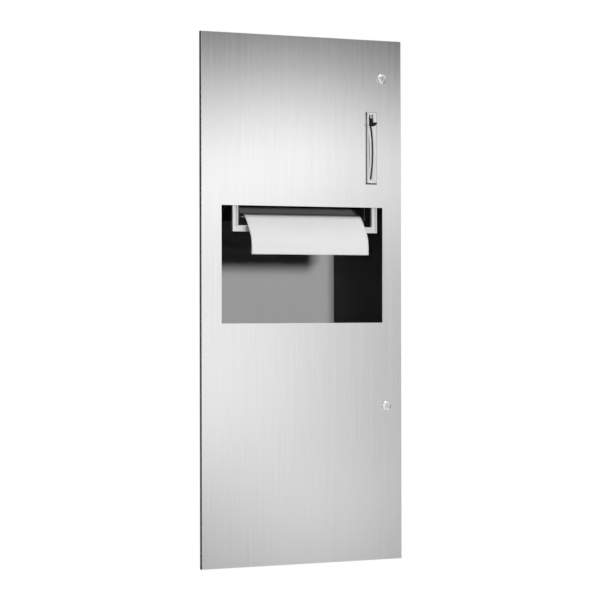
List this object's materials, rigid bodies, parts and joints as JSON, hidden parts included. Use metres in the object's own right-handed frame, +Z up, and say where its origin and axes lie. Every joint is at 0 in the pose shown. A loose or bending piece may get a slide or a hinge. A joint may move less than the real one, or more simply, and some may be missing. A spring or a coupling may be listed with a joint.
{
  "type": "recessed towel dispenser with waste bin",
  "caption": "Recessed washroom unit with one brushed steel door: a lever feeds roll towel out above a window, and a waste bin stands behind the lower part.",
  "frame": {"origin": "in the plane of the finished wall, on which the cabinet's flange rests, behind the centre of the door", "axes": "+X to the right as seen from the room, +Y into the wall, +Z up"},
  "size_m": [0.438, 0.2795, 1.041],
  "materials": {
    "cabinet_steel": "satin, lightly brushed stainless steel",
    "brushed_steel": "vertical-grain satin stainless steel",
    "frame_steel": "satin stainless steel",
    "hinge_steel": "plain stainless steel",
    "lock_chrome": "bright plated",
    "zinc_steel": "zinc plated, satin",
    "black_chassis": "matt black",
    "guide_grey": "matt dark grey",
    "black_plastic": "satin moulded plastic",
    "bearing_plastic": "natural acetal",
    "roller_rubber": "matt",
    "spring_steel": "bright drawn wire",
    "towel_paper": "white, lightly embossed",
    "core_card": "plain spiral-wound card",
    "bin_plastic": "moulded grey plastic"
  },
  "bodies": {
    "cabinet": {"cabinet_back": "cabinet_steel", "cabinet_left_side": "cabinet_steel", "cabinet_right_side": "cabinet_steel", "cabinet_top": "cabinet_steel", "cabinet_bottom": "cabinet_steel", "hinge_leaf_cabinet": "hinge_steel", "hinge_pin": "hinge_steel", "upper_strike": "hinge_steel", "lower_strike": "hinge_steel", "chassis_back": "black_chassis", "chassis_left_plate": "black_chassis", "chassis_right_plate": "black_chassis", "chassis_screws": "zinc_steel", "feed_bushes": "bearing_plastic", "right_core_plug": "black_plastic", "right_plug_bolt": "zinc_steel", "plug_bracket": "black_chassis", "plug_bush": "bearing_plastic", "plug_spring": "spring_steel", "lower_guide": "black_chassis", "tear_bar": "frame_steel", "front_cover": "black_chassis", "towel_frame": "frame_steel", "trim_screws": "zinc_steel", "lever_guard": "brushed_steel", "upper_guide": "guide_grey", "lever_pivot_stud": "zinc_steel", "lever_clip": "zinc_steel", "spring_post": "zinc_steel", "lever_spring": "spring_steel", "paper_web": "towel_paper", "pinch_springs": "spring_steel"},
    "door": {"door_panel": "brushed_steel", "hinge_leaf_door": "hinge_steel", "upper_lock_body": "lock_chrome", "upper_lock_nut": "lock_chrome", "lower_lock_body": "lock_chrome", "lower_lock_nut": "lock_chrome"},
    "upper_lock": {"upper_lock_plug": "lock_chrome", "upper_lock_cam": "zinc_steel", "upper_cam_screw": "zinc_steel"},
    "lower_lock": {"lower_lock_plug": "lock_chrome", "lower_lock_cam": "zinc_steel", "lower_cam_screw": "zinc_steel"},
    "lever": {"lever_arm": "zinc_steel", "lever_bush": "bearing_plastic", "lever_grip": "black_plastic"},
    "pinion": {"drive_pinion": "bearing_plastic", "one_way_clutch": "zinc_steel"},
    "feed_roller": {"feed_shaft": "zinc_steel", "feed_sleeves": "roller_rubber", "feed_clips": "zinc_steel"},
    "pinch_carriage": {"pinch_bearings": "bearing_plastic"},
    "pinch_roller": {"pinch_shaft": "zinc_steel", "pinch_sleeves": "roller_rubber"},
    "roll": {"paper_roll": "towel_paper", "roll_core": "core_card"},
    "core_plug": {"left_core_plug": "black_plastic", "plug_knob": "black_plastic"},
    "waste_bin": {"waste_bin": "bin_plastic"}
  },
  "joints": [
    {"name": "door_swing", "type": "hinge", "parent": "cabinet", "child": "door", "pos_m": [-0.215, -0.0054, 0], "axis": [0, 0, -1], "range_deg": [0, 110]},
    {"name": "upper_lock_turn", "type": "hinge", "parent": "door", "child": "upper_lock", "pos_m": [0.1748, 0.0042, 0.4429], "axis": [0, -1, 0], "range_deg": [0, 90]},
    {"name": "lower_lock_turn", "type": "hinge", "parent": "door", "child": "lower_lock", "pos_m": [0.1842, 0.0042, -0.2122], "axis": [0, -1, 0], "range_deg": [0, 90]},
    {"name": "lever_pull", "type": "hinge", "parent": "cabinet", "child": "lever", "pos_m": [0.151, 0.169, 0.296], "axis": [1, 0, 0], "range_deg": [0, 33], "stiffness_Nm_per_rad": 0.72, "springref_deg": -36.1, "deforming": ["lever_spring"]},
    {"name": "pinion_turn", "type": "hinge", "parent": "cabinet", "child": "pinion", "pos_m": [0.151, 0.05693, 0.21547], "axis": [1, 0, 0], "range_deg": [-271.1, 0]},
    {"name": "feed_roller_turn", "type": "hinge", "parent": "cabinet", "child": "feed_roller", "pos_m": [0.0066, 0.05693, 0.21547], "axis": [1, 0, 0], "range_deg": [-271.1, 0]},
    {"name": "pinch_release", "type": "slide", "parent": "cabinet", "child": "pinch_carriage", "axis": [0, 0.6118, -0.791], "range_m": [0, 0.003], "stiffness_N_per_m": 2000, "springref_m": -0.001, "deforming": ["pinch_springs"]},
    {"name": "pinch_roller_turn", "type": "hinge", "parent": "pinch_carriage", "child": "pinch_roller", "pos_m": [0.0066, 0.07724, 0.18921], "axis": [1, 0, 0], "range_deg": [0, 451.5]},
    {"name": "roll_turn", "type": "hinge", "parent": "cabinet", "child": "roll", "pos_m": [0.0066, 0.1016, 0.34407], "axis": [1, 0, 0], "range_deg": [-58.51, 0]},
    {"name": "core_plug_release", "type": "slide", "parent": "cabinet", "child": "core_plug", "axis": [-1, 0, 0], "range_m": [0, 0.014], "stiffness_N_per_m": 400, "springref_m": -0.005, "deforming": ["plug_spring"]},
    {"name": "bin_lift", "type": "slide", "parent": "cabinet", "child": "waste_bin", "axis": [0, 0, 1], "range_m": [0, 0.025]}
  ],
  "couplings": [
    {"joint": "pinion_turn", "follows": "lever_pull", "ratio": -8.2},
    {"joint": "feed_roller_turn", "follows": "lever_pull", "ratio": -8.2},
    {"joint": "pinch_roller_turn", "follows": "lever_pull", "ratio": 13.667},
    {"joint": "roll_turn", "follows": "lever_pull", "ratio": -1.7578}
  ]
}
